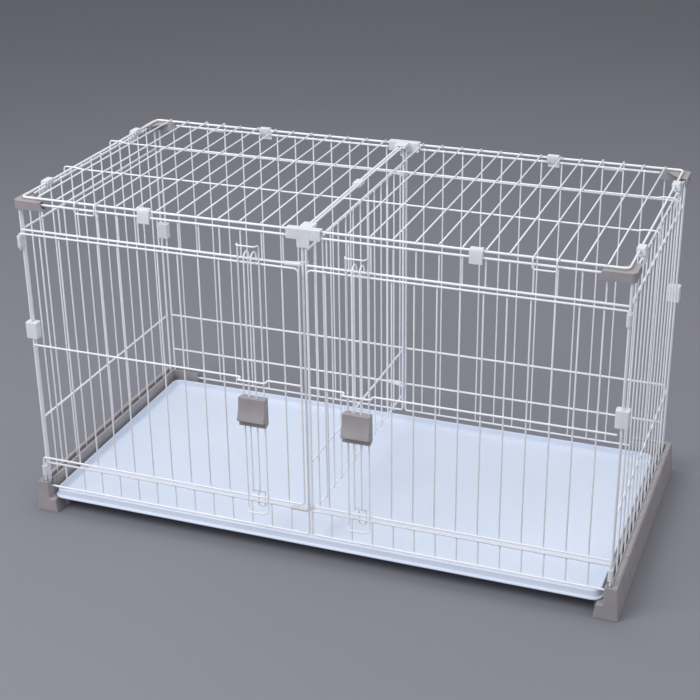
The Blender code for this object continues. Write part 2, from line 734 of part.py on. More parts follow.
def clip_outlines(outward, roof_place, wall_place):
    """Across the wires: a ring round the roof's frame wire, and a saddle over the wall's top wire."""
    hole = FRAME_R + FIT
    wall = ROOF_CLIP_WALL
    inner = roof_place - outward * (hole + wall)
    outer = wall_place + outward * (hole + wall)
    slot_in, slot_out = wall_place - outward * hole, wall_place + outward * hole
    top, bottom = ROOF_Z + hole + wall, TOP_Z - ROOF_CLIP_DROP
    slot_top = TOP_Z + hole
    outline = [
        (inner, ROOF_Z - hole), (inner, top), (outer - outward * wall, top), (outer, ROOF_Z), (outer, bottom),
        (slot_out, bottom), (slot_out, slot_top), (slot_in, slot_top), (slot_in, TOP_Z), (slot_in - outward * 0.002, TOP_Z),
    ]
    return [outline, circle(roof_place, ROOF_Z, hole)]


def roof_clips():
    clips = []
    half = ROOF_CLIP_LENGTH / 2
    for side in (-1, 1):
        middle = bar_x(side, ROOF_CLIP_GAP)
        for end, wall, roof in ((-1, FRONT_Y, FRONT_Y + ROOF_INSET_Y), (1, BACK_Y, BACK_Y - ROOF_INSET_Y)):
            outlines = clip_outlines(end, roof, wall)
            name = f"roof_clip_{end_name(end)}_{side_name(side)}"
            clips.append(part(name, prism(outlines, middle - half, middle + half, "X"), CLIP_CLEAR))
        outlines = clip_outlines(side, side * (HALF_WIDTH - ROOF_INSET_X), side * HALF_WIDTH)
        for place, gap in (("near", ROOF_CLIP_SIDE_GAP), ("far", BAR_GAPS - ROOF_CLIP_SIDE_GAP)):
            y = bar_y(gap)
            name = f"roof_clip_{side_name(side)}_{place}"
            clips.append(part(name, prism(outlines, y - half, y + half, "Y"), CLIP_CLEAR))
    hole = FRAME_R + FIT
    reach = ROOF_INNER_X + hole + ROOF_CLIP_WALL
    outline = rounded_rectangle((-reach, ROOF_Z - hole - ROOF_CLIP_WALL), (reach, ROOF_Z + hole + ROOF_CLIP_WALL), 0.003, 2)
    holes = [circle(-ROOF_INNER_X, ROOF_Z, hole), circle(ROOF_INNER_X, ROOF_Z, hole)]
    solid = prism([outline, *holes], MIDDLE_Y - half, MIDDLE_Y + half, "Y")
    clips.append(part("roof_clip_centre", solid, CLIP_CLEAR))
    return clips


def ordered_block(corner, opposite, bevel=0.0):
    low = [min(a, b) for a, b in zip(corner, opposite)]
    high = [max(a, b) for a, b in zip(corner, opposite)]
    return block(low, high, bevel)


def top_connector(end):
    """A channel over the two roof halves and the top rails where the bays meet, open downwards."""
    wall_y = wall_y_at(end)
    roof_y = wall_y - end * ROOF_INSET_Y
    outer = wall_y + end * (CONNECTOR_REACH + CONNECTOR_WALL)
    inner = roof_y - end * (FRAME_R + FIT + 2 * CONNECTOR_WALL)
    inside_outer = wall_y + end * CONNECTOR_REACH
    inside_inner = inner + end * CONNECTOR_WALL
    dome_end = inner - end * DOME_LENGTH
    roof_low = ROOF_Z - FRAME_R
    inside_top = CONNECTOR_TOP_Z - CONNECTOR_WALL
    solid = fused([
        ordered_block((-CONNECTOR_HALF, outer, CONNECTOR_BOTTOM_Z), (CONNECTOR_HALF, inner, CONNECTOR_TOP_Z), 0.001),
        ordered_block((-DOME_HALF, inside_inner, roof_low), (DOME_HALF, dome_end, CONNECTOR_TOP_Z), 0.001),
        ordered_block((-TONGUE_HALF, outer, TONGUE_BOTTOM_Z), (TONGUE_HALF, inside_outer, inside_top)),
    ])
    connector = part(f"top_connector_{end_name(end)}", solid, CLIP_CLEAR)
    way = ROOF_INNER_X + FRAME_R + FIT
    below = TONGUE_BOTTOM_Z - 0.010
    return cut(connector, [
        ordered_block((-1.5 * CONNECTOR_HALF, inside_outer, below), (1.5 * CONNECTOR_HALF, inside_inner, inside_top)),
        ordered_block((-way, inside_outer, below), (way, dome_end - end * 0.010, inside_top)),
    ])


def divider_joint(end, level, rail_z):
    """A sleeve on a rail beside the centre posts, with a fin to a ring round the divider's end wire."""
    wall_y = wall_y_at(end)
    ring_y = wall_y - end * DIVIDER_END_GAP
    near = -(CENTRE_POST_X + FRAME_R + 2 * FIT)
    far = near - JOINT_LENGTH
    radius = FRAME_R + JOINT_WALL
    half = JOINT_FIN / 2
    edge = wall_y - end * FRAME_R
    fin_outline = [(far + radius, edge), (near, edge), (0.0, ring_y + end * FRAME_R), (-FRAME_R, ring_y - end * radius / 2)]
    pieces = [
        rod((far, wall_y, rail_z), (near, wall_y, rail_z), radius),
        prism([fin_outline], rail_z - half, rail_z + half, "Z"),
        rod((0, ring_y, rail_z - 1.5 * half), (0, ring_y, rail_z + 1.5 * half), radius, 12),
    ]
    joint = part(f"divider_joint_{end_name(end)}_{level}", fused(pieces), CLIP_CLEAR)
    inner_post = (CENTRE_POST_X, wall_y)
    hole = FRAME_R + FIT
    cutters = [
        rod((far - 0.01, wall_y, rail_z), (near + 0.01, wall_y, rail_z), hole),
        rod((0, ring_y, rail_z - 0.02), (0, ring_y, rail_z + 0.02), hole),
    ]
    for x in (-inner_post[0], inner_post[0]):
        cutters.append(rod((x, wall_y, rail_z - 0.02), (x, wall_y, rail_z + 0.02), hole))
    return cut(joint, cutters)


def corner_cap(side, end):
    """An angled cover over the corner of two walls, open below and at its ends, with a gusset inside the angle."""
    wall_y = wall_y_at(end)
    face = CAP_ROOM + CAP_WALL

    def angle(outward, arm_x, arm_y, radius):
        """An L in plan, as far outside and inside the two walls as outward says."""
        bend = arc(HALF_WIDTH + outward - radius, outward - radius, radius, 0, 90, 3)
        points = [(HALF_WIDTH + outward, -arm_y), *bend, (HALF_WIDTH - arm_x, outward)]
        points += [(HALF_WIDTH - arm_x, -outward), (HALF_WIDTH - outward, -outward), (HALF_WIDTH - outward, -arm_y)]
        return [(side * x, wall_y + end * y) for x, y in points]

    def slanted(arm):
        return arm - CAP_SLANT

    long_x, long_y = CAP_ARM_X - face, CAP_ARM_Y - face
    body = prism([angle(face, long_x, long_y, CAP_CORNER)], CAP_BOTTOM_Z, CAP_TOP_Z, "Z")
    for vertex in body.data.vertices:
        if vertex.co.z > (CAP_BOTTOM_Z + CAP_TOP_Z) / 2:
            if abs(abs(vertex.co.x) - (HALF_WIDTH - long_x)) < SEAM:
                vertex.co.x += side * CAP_SLANT
            if abs(abs(vertex.co.y - wall_y) - long_y) < SEAM:
                vertex.co.y += end * CAP_SLANT
    inner = HALF_WIDTH - face
    corner = [(inner + SEAM, SEAM - face), (inner + SEAM, -face - CAP_GUSSET), (inner - CAP_GUSSET, SEAM - face)]
    gusset = prism([[(side * x, wall_y + end * y) for x, y in corner]], CAP_TOP_Z - 0.0035, CAP_TOP_Z - 0.0010, "Z")
    cap = part(f"corner_cap_{end_name(end)}_{side_name(side)}", fused([body, gusset]), BASE_BEIGE)
    room = angle(CAP_ROOM, CAP_ARM_X + 0.02, CAP_ARM_Y + 0.02, CAP_CORNER - CAP_WALL)
    return cut(cap, [prism([room], CAP_BOTTOM_Z - 0.01, CAP_TOP_Z - CAP_TOP_WALL, "Z")])


# Base and tray


def rail_profile(side, skirt_bottom, solid_below):
    """Cross-section of the base: a leaning skirt, a groove for the side panel and a ledge for the tray."""
    outer_low, outer_high = HALF_WIDTH + FOOT_REACH, HALF_WIDTH + FOOT_TOP_REACH
    inner = HALF_WIDTH - RAIL_INNER
    ledge = HALF_WIDTH - LEDGE_REACH
    under = LEDGE_Z - LEDGE_THICKNESS
    points = [
        (outer_low, skirt_bottom),
        (outer_high, BASE_TOP_Z - 0.003),
        (outer_high - 0.003, BASE_TOP_Z),
        (HALF_WIDTH + GROOVE_OUTER, BASE_TOP_Z),
        (HALF_WIDTH + GROOVE_OUTER, GROOVE_FLOOR_Z),
        (HALF_WIDTH - GROOVE_INNER, GROOVE_FLOOR_Z),
        (HALF_WIDTH - GROOVE_INNER, BASE_TOP_Z),
        (inner, BASE_TOP_Z),
        (inner, LEDGE_Z),
        (ledge, LEDGE_Z),
    ]
    if solid_below:
        points += [(ledge - FOOT_STEP_FLARE, skirt_bottom)]
    else:
        points += [(ledge, under), (outer_high - RAIL_SKIRT, under), (outer_low - RAIL_SKIRT, skirt_bottom)]
    return [(side * x, z) for x, z in points]


def base_rail(side):
    low = BASE_FRONT_Y + FOOT_LENGTH + FOOT_SEAM / 2
    high = BASE_BACK_Y - FOOT_LENGTH - FOOT_SEAM / 2
    solid = prism([rail_profile(side, RAIL_LIFT, False)], low, high, "Y")
    return part(f"base_rail_{side_name(side)}", solid, BASE_BEIGE)


def tapered_block(low, high, low_top, high_top):
    """A block whose top face has its own corners in plan."""
    obj = block(low, high)
    for vertex in obj.data.vertices:
        if vertex.co.z > (low[2] + high[2]) / 2:
            vertex.co.x = low_top[0] if vertex.co.x < (low[0] + high[0]) / 2 else high_top[0]
            vertex.co.y = low_top[1] if vertex.co.y < (low[1] + high[1]) / 2 else high_top[1]
    return obj


def foot_column(side, low_y, high_y):
    """The corner block of a foot, which leans in a little towards its top."""
    xs = sorted((side * (HALF_WIDTH - FOOT_INNER), side * (HALF_WIDTH + FOOT_REACH)))
    top_xs = sorted((side * (HALF_WIDTH - FOOT_INNER), side * (HALF_WIDTH + FOOT_TOP_REACH)))
    low, high = (xs[0], low_y, 0.0), (xs[1], high_y, BASE_TOP_Z)
    return tapered_block(low, high, (top_xs[0], low_y + FOOT_LEAN), (top_xs[1], high_y - FOOT_LEAN))


def foot_front(side):
    arm_end = BASE_FRONT_Y + FOOT_LENGTH - FOOT_SEAM / 2
    step = HALF_WIDTH - FOOT_STEP
    step_low = sorted((side * (step - FOOT_STEP_FLARE), side * HALF_WIDTH))
    step_top = sorted((side * step, side * HALF_WIDTH))
    front, lean = BASE_FRONT_Y, FOOT_LEAN * LEDGE_Z / BASE_TOP_Z
    body = fused([
        foot_column(side, BASE_FRONT_Y, BASE_FRONT_Y + FOOT_BLOCK),
        tapered_block(
            (step_low[0], front, 0.0), (step_low[1], front + FOOT_STEP_LENGTH, LEDGE_Z),
            (step_top[0], front + lean), (step_top[1], front + FOOT_STEP_LENGTH - lean),
        ),
        prism([rail_profile(side, 0.0, True)], BASE_FRONT_Y + FOOT_BLOCK - 0.008, arm_end, "Y"),
    ])
    foot = part(f"foot_front_{side_name(side)}", body, BASE_BEIGE)
    inner, outer = side * (HALF_WIDTH - GROOVE_INNER), side * (HALF_WIDTH + GROOVE_OUTER)
    room = FRAME_R + 2 * FIT
    return cut(foot, [
        ordered_block((inner, FRONT_Y - room, GROOVE_FLOOR_Z), (outer, arm_end + 0.01, 0.1)),
        ordered_block((side * (HALF_WIDTH - 0.04), FRONT_Y - room, GROOVE_FLOOR_Z), (outer, FRONT_Y + 2 * room, 0.1)),
        rod((side * PIN_X, DOOR_Y, BASE_TOP_Z - SOCKET_DEPTH), (side * PIN_X, DOOR_Y, 0.1), SOCKET_RADIUS),
    ])


def foot_back(side):
    """The same block and rail, with an arm under the back panel."""
    arm_start = BASE_BACK_Y - FOOT_LENGTH + FOOT_SEAM / 2
    arm_x = HALF_WIDTH + FOOT_REACH - BACK_ARM
    arm_face = BASE_BACK_Y - BACK_ARM_FACE - 0.0105
    xs = sorted((side * arm_x, side * HALF_WIDTH))
    body = fused([
        foot_column(side, BASE_BACK_Y - FOOT_BLOCK, BASE_BACK_Y),
        prism([rail_profile(side, 0.0, True)], arm_start, BASE_BACK_Y - FOOT_BLOCK + 0.008, "Y"),
        tapered_block(
            (xs[0], arm_face, 0.0), (xs[1], BASE_BACK_Y, BASE_TOP_Z),
            (xs[0], arm_face), (xs[1], BASE_BACK_Y - FOOT_LEAN),
        ),
    ])
    foot = part(f"foot_back_{side_name(side)}", body, BASE_BEIGE)
    inner, outer = side * (HALF_WIDTH - GROOVE_INNER), side * (HALF_WIDTH + GROOVE_OUTER)
    low, high = BACK_Y - GROOVE_INNER, BACK_Y + GROOVE_OUTER
    return cut(foot, [
        ordered_block((inner, arm_start - 0.01, GROOVE_FLOOR_Z), (outer, high, 0.1)),
        ordered_block((side * (arm_x - 0.01), low, GROOVE_FLOOR_Z), (outer, high, 0.1)),
    ])


def tray():
    """A shallow pan with round corners and a low flange round its foot."""
    front, back = FRONT_Y - TRAY_FRONT_REACH, BACK_Y - TRAY_BACK_GAP
    outer = rounded_rectangle((-TRAY_HALF, front), (TRAY_HALF, back), TRAY_CORNER)
    reach = TRAY_LIP_REACH
    lip = rounded_rectangle((-TRAY_HALF - reach, front - reach), (TRAY_HALF + reach, back + reach), TRAY_CORNER + reach)
    pan = part(
        "tray",
        fused([
            prism([outer], TRAY_BOTTOM_Z, TRAY_TOP_Z, "Z"),
            prism([lip], TRAY_BOTTOM_Z + FIT, TRAY_BOTTOM_Z + TRAY_LIP, "Z"),
        ]),
        TRAY_WHITE,
    )
    inside = rounded_rectangle(
        (-TRAY_HALF + TRAY_WALL, front + TRAY_WALL),
        (TRAY_HALF - TRAY_WALL, back - TRAY_WALL),
        TRAY_CORNER - TRAY_WALL,
    )
    return cut(pan, [prism([inside], TRAY_BOTTOM_Z + TRAY_FLOOR, TRAY_TOP_Z + 0.02, "Z")])


def build():
    roof_parts = roof_clips() + [top_connector(-1), top_connector(1)]
    divider_panel()
    for end, bottom_rail_z in ((-1, FOOTER_Z), (1, BACK_FOOTER_Z)):
        divider_joint(end, "top", HEADER_Z)
        divider_joint(end, "bottom", bottom_rail_z)
    for side in (-1, 1):
        front_frame(side)
        back_panel(side)
        side_panel(side)
        roof_parts.append(roof_panel(side))
        base_rail(side)
        foot_front(side)
        foot_back(side)
        for end in (-1, 1):
            corner_cap(side, end)
            corner_clip(side, end)
        hinge_sleeve(side, "top", TOP_SLEEVE_Z)
        hinge_sleeve(side, "bottom", BOTTOM_SLEEVE_Z)
        hinge = joint_frame(f"hinge_axis_{side_name(side)}", (side * PIN_X, DOOR_Y, DOOR_MID_Z), [door(side)])
        latch_parts = [latch_bolt(side), *latch_grip(side)]
        latch_place = (latch_middle(side), BOLT_FRONT_Y, GRIP_BOTTOM_Z)
        slide = joint_frame(f"latch_axis_{side_name(side)}", latch_place, latch_parts)
        slide.parent = hinge
        slide.matrix_parent_inverse = hinge.matrix_world.inverted()
    joint_frame("tray_axis", (0, MIDDLE_Y, TRAY_BOTTOM_Z), [tray()])
    joint_frame("roof_axis", (0, MIDDLE_Y, ROOF_Z), roof_parts)


build()
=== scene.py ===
"""Studio scene of a two-bay wire pet crate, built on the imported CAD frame."""

import json
import math

import bmesh
import bpy
from mathutils import Matrix, Vector


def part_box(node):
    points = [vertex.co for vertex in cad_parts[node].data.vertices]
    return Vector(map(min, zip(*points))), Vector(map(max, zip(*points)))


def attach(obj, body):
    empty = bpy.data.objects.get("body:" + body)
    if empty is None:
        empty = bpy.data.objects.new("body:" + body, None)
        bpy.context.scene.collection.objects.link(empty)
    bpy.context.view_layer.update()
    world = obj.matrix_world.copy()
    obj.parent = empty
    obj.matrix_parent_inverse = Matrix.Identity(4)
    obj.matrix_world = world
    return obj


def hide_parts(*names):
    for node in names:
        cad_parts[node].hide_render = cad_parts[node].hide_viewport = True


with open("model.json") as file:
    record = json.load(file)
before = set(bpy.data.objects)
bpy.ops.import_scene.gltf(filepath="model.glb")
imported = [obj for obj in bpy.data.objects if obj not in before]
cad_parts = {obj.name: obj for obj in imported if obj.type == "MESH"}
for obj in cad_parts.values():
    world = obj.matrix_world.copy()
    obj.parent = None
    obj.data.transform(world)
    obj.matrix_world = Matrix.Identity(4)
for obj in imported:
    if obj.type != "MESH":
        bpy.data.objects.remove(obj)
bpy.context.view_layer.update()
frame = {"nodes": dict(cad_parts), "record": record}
BODY_OF = {node: body for body, nodes in frame["record"]["behaviour"]["bodies"].items() for node in nodes}

# Sizes of the CAD model, in metres. Places come from the boxes of its nodes.
FRAME_R = 0.00225
DOOR_R = 0.0020
BAR_R = 0.0016
GAPS = 14
BAY = 0.600
FRONT_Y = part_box("front_frame_left")[0][1] + FRAME_R
BACK_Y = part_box("back_panel_left")[0][1] + FRAME_R
MIDDLE_Y = (FRONT_Y + BACK_Y) / 2
PITCH = BAY / GAPS
SIDE_PITCH = (BACK_Y - FRONT_Y) / GAPS
BOTTOM_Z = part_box("front_frame_left")[0][2] + FRAME_R
TOP_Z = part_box("front_frame_left")[1][2] - FRAME_R
FOOTER_Z, BACK_FOOTER_Z, LOW_Z, HEADER_Z = 0.109, 0.123, 0.213, 0.630
WELD = FRAME_R + BAR_R - 0.0005
DOOR_Y = FRONT_Y - 0.0095
DOOR_WELD = DOOR_R + BAR_R - 0.0005
GUIDE_Y = DOOR_Y - DOOR_WELD
ROOF_Z = 0.697
ROOF_BAR_Z = ROOF_Z + WELD
ROOF_INNER_X = 0.0036
ROOF_OUTER_X = BAY - 0.0065
RAIL_OFFSET = 0.0967
ROOF_FRONT_Y, ROOF_BACK_Y = FRONT_Y + 0.004, BACK_Y - 0.004
PIN_X = 0.601
CENTRE_X = 0.0035
LOOP_CORNER = 0.005
PANEL_INSET = 0.008
DIVIDER_INSET = 0.010
# How far a bar's end runs past the wire that it is welded to
SHORT_END, BOTTOM_END, TOP_END = 0.0012, 0.0020, 0.0022
# The gaps whose bars are bent into the roof's hanging loop and the door's bolt guide
HOOK_GAPS = (3, 4)
GUIDE_GAPS = (11, 12)
# How far the edges of the mouldings are rounded over
BASE_EDGE, GRIP_EDGE, CLIP_EDGE = 0.0011, 0.0008, 0.0006
CLIPS = ("corner_clip_", "hinge_sleeve_", "roof_clip_", "top_connector_", "divider_joint_")
CURVE_UNIT = 0.001
# A wire's rounded end, in wire radii: how far in from the end, and how thick the wire is there
END_SHAPE = ((0.0, 0.62), (0.12, 0.88), (0.45, 1.0))
SIDES = (("left", -1), ("right", 1))


# Materials


def nodes_of(name):
    material = bpy.data.materials.new(name)
    material.use_nodes = True
    tree = material.node_tree
    return material, tree, tree.nodes["Principled BSDF"]


def noise(tree, scale, detail=3.0, rough=0.5):
    coords = tree.nodes.new("ShaderNodeTexCoord")
    texture = tree.nodes.new("ShaderNodeTexNoise")
    texture.inputs["Scale"].default_value = scale
    texture.inputs["Detail"].default_value = detail
    texture.inputs["Roughness"].default_value = rough
    tree.links.new(coords.outputs["Object"], texture.inputs["Vector"])
    return texture.outputs["Fac"]


def ramp(tree, factor, stops):
    node = tree.nodes.new("ShaderNodeValToRGB")
    elements = node.color_ramp.elements
    while len(elements) < len(stops):
        elements.new(0.5)
    for element, (place, colour) in zip(elements, stops):
        element.position = place
        element.color = (*colour, 1.0)
    tree.links.new(factor, node.inputs["Fac"])
    return node.outputs["Color"]


def spread(tree, factor, low, high):
    node = tree.nodes.new("ShaderNodeMapRange")
    node.inputs["From Min"].default_value = 0.3
    node.inputs["From Max"].default_value = 0.7
    node.inputs["To Min"].default_value = low
    node.inputs["To Max"].default_value = high
    tree.links.new(factor, node.inputs["Value"])
    return node.outputs["Result"]


def bump(tree, shader, height, strength, distance, below=None):
    node = tree.nodes.new("ShaderNodeBump")
    node.inputs["Strength"].default_value = strength
    node.inputs["Distance"].default_value = distance
    tree.links.new(height, node.inputs["Height"])
    if below:
        tree.links.new(below, node.inputs["Normal"])
    tree.links.new(node.outputs["Normal"], shader.inputs["Normal"])
    return node.outputs["Normal"]


def tinted(tree, shader, tone, low, high):
    """Base colour that drifts between two tones. Each tone is (place on the noise, colour)."""
    tree.links.new(ramp(tree, tone, [low, high]), shader.inputs["Base Color"])


def powder_coat():
    """Sprayed white coat on wire: faint orange peel and a satin sheen that varies a little."""
    material, tree, shader = nodes_of("powder_coat")
    tone = noise(tree, 38.0, 4.0)
    tinted(tree, shader, tone, (0.30, (0.88, 0.89, 0.92)), (0.70, (0.93, 0.94, 0.96)))
    tree.links.new(spread(tree, noise(tree, 160.0), 0.30, 0.42), shader.inputs["Roughness"])
    shader.inputs["Coat Weight"].default_value = 0.25
    shader.inputs["Coat Roughness"].default_value = 0.18
    peel = bump(tree, shader, noise(tree, 900.0, 2.0), 0.25, 0.00012)
    bump(tree, shader, noise(tree, 120.0, 2.0), 0.15, 0.0002, peel)
    return material


def grained_plastic(name, low, high):
    """Grey moulding between two tones, with a fine spark-eroded grain."""
    material, tree, shader = nodes_of(name)
    tone = noise(tree, 24.0, 5.0)
    tinted(tree, shader, tone, (0.32, low), (0.68, high))
    tree.links.new(spread(tree, noise(tree, 90.0, 4.0), 0.42, 0.56), shader.inputs["Roughness"])
    shader.inputs["Subsurface Weight"].default_value = 0.05
    shader.inputs["Subsurface Radius"].default_value = (0.004, 0.003, 0.002)
    shader.inputs["Subsurface Scale"].default_value = 1.0
    bump(tree, shader, noise(tree, 1500.0, 3.0, 0.6), 0.35, 0.00012)
    return material


def milky_plastic():
    """Translucent clip plastic: cloudy inside, smooth outside."""
    material, tree, shader = nodes_of("milky_plastic")
    tone = noise(tree, 45.0, 3.0)
    tinted(tree, shader, tone, (0.30, (0.84, 0.87, 0.92)), (0.70, (0.92, 0.94, 0.97)))
    tree.links.new(spread(tree, noise(tree, 120.0), 0.26, 0.36), shader.inputs["Roughness"])
    shader.inputs["Transmission Weight"].default_value = 0.12
    shader.inputs["IOR"].default_value = 1.46
    shader.inputs["Subsurface Weight"].default_value = 0.30
    shader.inputs["Subsurface Radius"].default_value = (0.006, 0.006, 0.007)
    shader.inputs["Subsurface Scale"].default_value = 1.0
    return material


def tray_plastic():
    """Cool white moulding with a soft gloss, faint broad tone changes and a light grain."""
    material, tree, shader = nodes_of("tray_plastic")
    tone = noise(tree, 3.0, 2.0)
    tinted(tree, shader, tone, (0.30, (0.69, 0.755, 0.875)), (0.70, (0.74, 0.805, 0.92)))
    tree.links.new(spread(tree, noise(tree, 5.0, 2.0), 0.30, 0.36), shader.inputs["Roughness"])
    bump(tree, shader, noise(tree, 90.0, 2.0), 0.03, 0.0002)
    return material


POWDER = powder_coat()
GREY = grained_plastic("grained_plastic", (0.330, 0.304, 0.312), (0.385, 0.355, 0.360))
MILKY = milky_plastic()
# Near-black plastic that paints the shade inside the base rails' panel groove: painted shade, not dust.
GROOVE_SHADE = grained_plastic("groove_painted_shade", (0.050, 0.047, 0.047), (0.075, 0.070, 0.070))
TRAY = tray_plastic()


# Pieces


def keep(obj, nodes, material):
    """Gives a finished piece its material and its body, and hides the CAD nodes it stands for."""
    obj.data.materials.clear()
    obj.data.materials.append(material)
    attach(obj, BODY_OF[nodes[0]])
    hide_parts(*nodes)
    return obj


def add(name, data):
    obj = bpy.data.objects.new(name, data)
    bpy.context.scene.collection.objects.link(obj)
    return obj


def arc(u, v, radius, start, end, steps=6):
    angles = [math.radians(start + (end - start) * step / steps) for step in range(steps + 1)]
    return [(u + radius * math.cos(a), v + radius * math.sin(a)) for a in angles]


def bent(points, radius, steps=5, cyclic=False):
    """The run of points with every corner turned through an arc."""
    points = [Vector(p) for p in points]
    count = len(points)
    result = []
    for index, corner in enumerate(points):
        if not cyclic and index in (0, count - 1):
            result.append(corner)
            continue
        before, after = points[index - 1], points[(index + 1) % count]
        a, b = before - corner, after - corner
        la, lb = a.length, b.length
        a.normalize()
        b.normalize()
        angle = a.angle(b, math.pi)
        if angle > math.radians(176):
            result.append(corner)
            continue
        reach = min(radius / math.tan(angle / 2), la * 0.49, lb * 0.49)
        r = reach * math.tan(angle / 2)
        centre = corner + (a + b).normalized() * (r / math.sin(angle / 2))
        start, end = corner + a * reach - centre, corner + b * reach - centre
        turn = start.angle(end)
        for step in range(steps + 1):
            t = step / steps
            p = (start * math.sin((1 - t) * turn) + end * math.sin(t * turn)) / math.sin(turn)
            result.append(centre + p)
    return result


def wire_piece(name, runs, nodes, sides=3):
    """One curve object of round wires. Each run is (points, radius, cyclic). Open ends are rounded over."""
    curve = bpy.data.curves.new(name, "CURVE")
    curve.dimensions = "3D"
    curve.bevel_depth = CURVE_UNIT
    curve.bevel_resolution = sides
    curve.use_fill_caps = True
    for points, radius, cyclic in runs:
        points = [Vector(p) for p in points]
        radii = [radius] * len(points)
        if not cyclic:
            first, last = (points[1] - points[0]).normalized(), (points[-2] - points[-1]).normalized()
            head = [points[0] + first * radius * inward for inward, _ in END_SHAPE]
            tail = [points[-1] + last * radius * inward for inward, _ in END_SHAPE]
            shrink = [radius * part for _, part in END_SHAPE]
            points = head + points[1:-1] + tail[::-1]
            radii = shrink + radii[1:-1] + shrink[::-1]
        spline = curve.splines.new("POLY")
        spline.points.add(len(points) - 1)
        for point, place, r in zip(spline.points, points, radii):
            point.co = (*place, 1.0)
            point.radius = r / CURVE_UNIT
        spline.use_cyclic_u = cyclic
        spline.use_smooth = True
    return keep(add(name, curve), nodes, POWDER)


def straight(start, end, radius):
    return ([start, end], radius, False)


def mesh_object(name, shape):
    mesh = bpy.data.meshes.new(name)
    shape.to_mesh(mesh)
    shape.free()
    mesh.shade_smooth()
    return add(name, mesh)


def paint_groove_shade(obj, node):
    """Paints shade into the inside of the groove that holds the wall panel, by giving its faces a near-black
    material in place of the shadow there.
    """
    obj.data.materials.append(GROOVE_SHADE)
    inner, outer = BAY - 0.0034, BAY + 0.0056
    floor, brim = 0.0505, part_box(node)[1][2] - 0.0035
    for polygon in obj.data.polygons:
        place = polygon.center
        inside = inner < abs(place.x) < outer and floor < place.z < brim
        if inside and abs(polygon.normal.y) < 0.5:
            polygon.material_index = 1


def whole_flats(node):
    """The CAD solid with its coplanar triangles merged into flats."""
    source = frame["nodes"][node].data
    shape = bmesh.new()
    points = [shape.verts.new(v.co) for v in source.vertices]
    for polygon in source.polygons:
        corners = [points[i] for i in polygon.vertices]
        try:
            shape.faces.new(corners)
        except ValueError:
            pass
    bmesh.ops.remove_doubles(shape, verts=shape.verts, dist=2e-6)
    bmesh.ops.dissolve_limit(shape, angle_limit=math.radians(1.0), verts=shape.verts, edges=shape.edges)
    bmesh.ops.recalc_face_normals(shape, faces=shape.faces)
    return shape


def soft_foot(node):
    """A corner foot, with all its corners and edges rounded generously."""
    obj = mesh_object(f"{node}_moulding", whole_flats(node))
    remesh = obj.modifiers.new("skin", "REMESH")
    remesh.mode = "VOXEL"
    remesh.voxel_size = 0.0012
    remesh.use_smooth_shade = True
    soften = obj.modifiers.new("rounding", "SMOOTH")
    soften.factor = 0.5
    soften.iterations = 10
    keep(obj, [node], GREY)


def moulded(node, material, width):
    """Any other plastic piece, with every edge rounded over by the given width."""
    shape = whole_flats(node)
    weights = shape.edges.layers.float.new("bevel_weight_edge")
    for edge in shape.edges:
        if len(edge.link_faces) == 2 and edge.calc_face_angle() >= math.radians(30):
            edge[weights] = 1.0
    obj = mesh_object(f"{node}_moulding", shape)
    bevel = obj.modifiers.new("edges", "BEVEL")
    bevel.width = width
    bevel.segments = 3
    bevel.limit_method = "WEIGHT"
    bevel.miter_outer = "MITER_ARC"
    normals = obj.modifiers.new("normals", "WEIGHTED_NORMAL")
    normals.keep_sharp = True
    normals.weight = 80
    keep(obj, [node], material)
    # The rail's groove gets painted shade: its inner faces are made near-black.
    if node.startswith("base_rail_"):
        paint_groove_shade(obj, node)


# Wire panels


def bar_x(side, gap):
    return side * (BAY - gap * PITCH)


def bar_y(gap):
    return FRONT_Y + gap * SIDE_PITCH


def upright(x, y, low, high, radius=BAR_R):
    return straight((x, y, low), (x, y, high), radius)


def outline(start, end):
    """The closed outer wire of a wall panel that stands between two (x, y) places."""
    corners = [(*start, BOTTOM_Z), (*end, BOTTOM_Z), (*end, TOP_Z), (*start, TOP_Z)]
    return (bent(corners, LOOP_CORNER, 5, True), FRAME_R, True)


def front_frame(name, side):
    outer, inner = side * BAY, side * CENTRE_X
    y = FRONT_Y
    runs = [outline((outer, y), (inner, y))]
    runs += [straight((outer, y, z), (inner, y, z), FRAME_R) for z in (FOOTER_Z, HEADER_Z)]
    for gap in range(1, GAPS):
        x = bar_x(side, gap)
        runs.append(upright(x, y + WELD, BOTTOM_Z - SHORT_END, FOOTER_Z + SHORT_END))
        runs.append(upright(x, y + WELD, HEADER_Z - SHORT_END, TOP_Z + SHORT_END))
    wire_piece(f"front_frame_{name}_wires", runs, [f"front_frame_{name}"])


def back_panel(name, side):
    outer, inner = side * (BAY - PANEL_INSET), side * CENTRE_X
    y = BACK_Y
    runs = [outline((outer, y), (inner, y))]
    runs += [straight((outer, y, z), (inner, y, z), FRAME_R) for z in (BACK_FOOTER_Z, LOW_Z, HEADER_Z)]
    for gap in range(1, GAPS):
        runs.append(upright(bar_x(side, gap), y + WELD, BOTTOM_Z - BOTTOM_END, TOP_Z + TOP_END))
    wire_piece(f"back_panel_{name}_wires", runs, [f"back_panel_{name}"])


def side_panel(name, side):
    x = side * BAY
    front, back = FRONT_Y + PANEL_INSET, BACK_Y - PANEL_INSET
    runs = [outline((x, front), (x, back))]
    runs += [straight((x, front, z), (x, back, z), FRAME_R) for z in (LOW_Z, HEADER_Z)]
    for gap in range(1, GAPS):
        runs.append(upright(x + side * WELD, bar_y(gap), BOTTOM_Z - BOTTOM_END, TOP_Z + TOP_END))
    wire_piece(f"side_panel_{name}_wires", runs, [f"side_panel_{name}"])


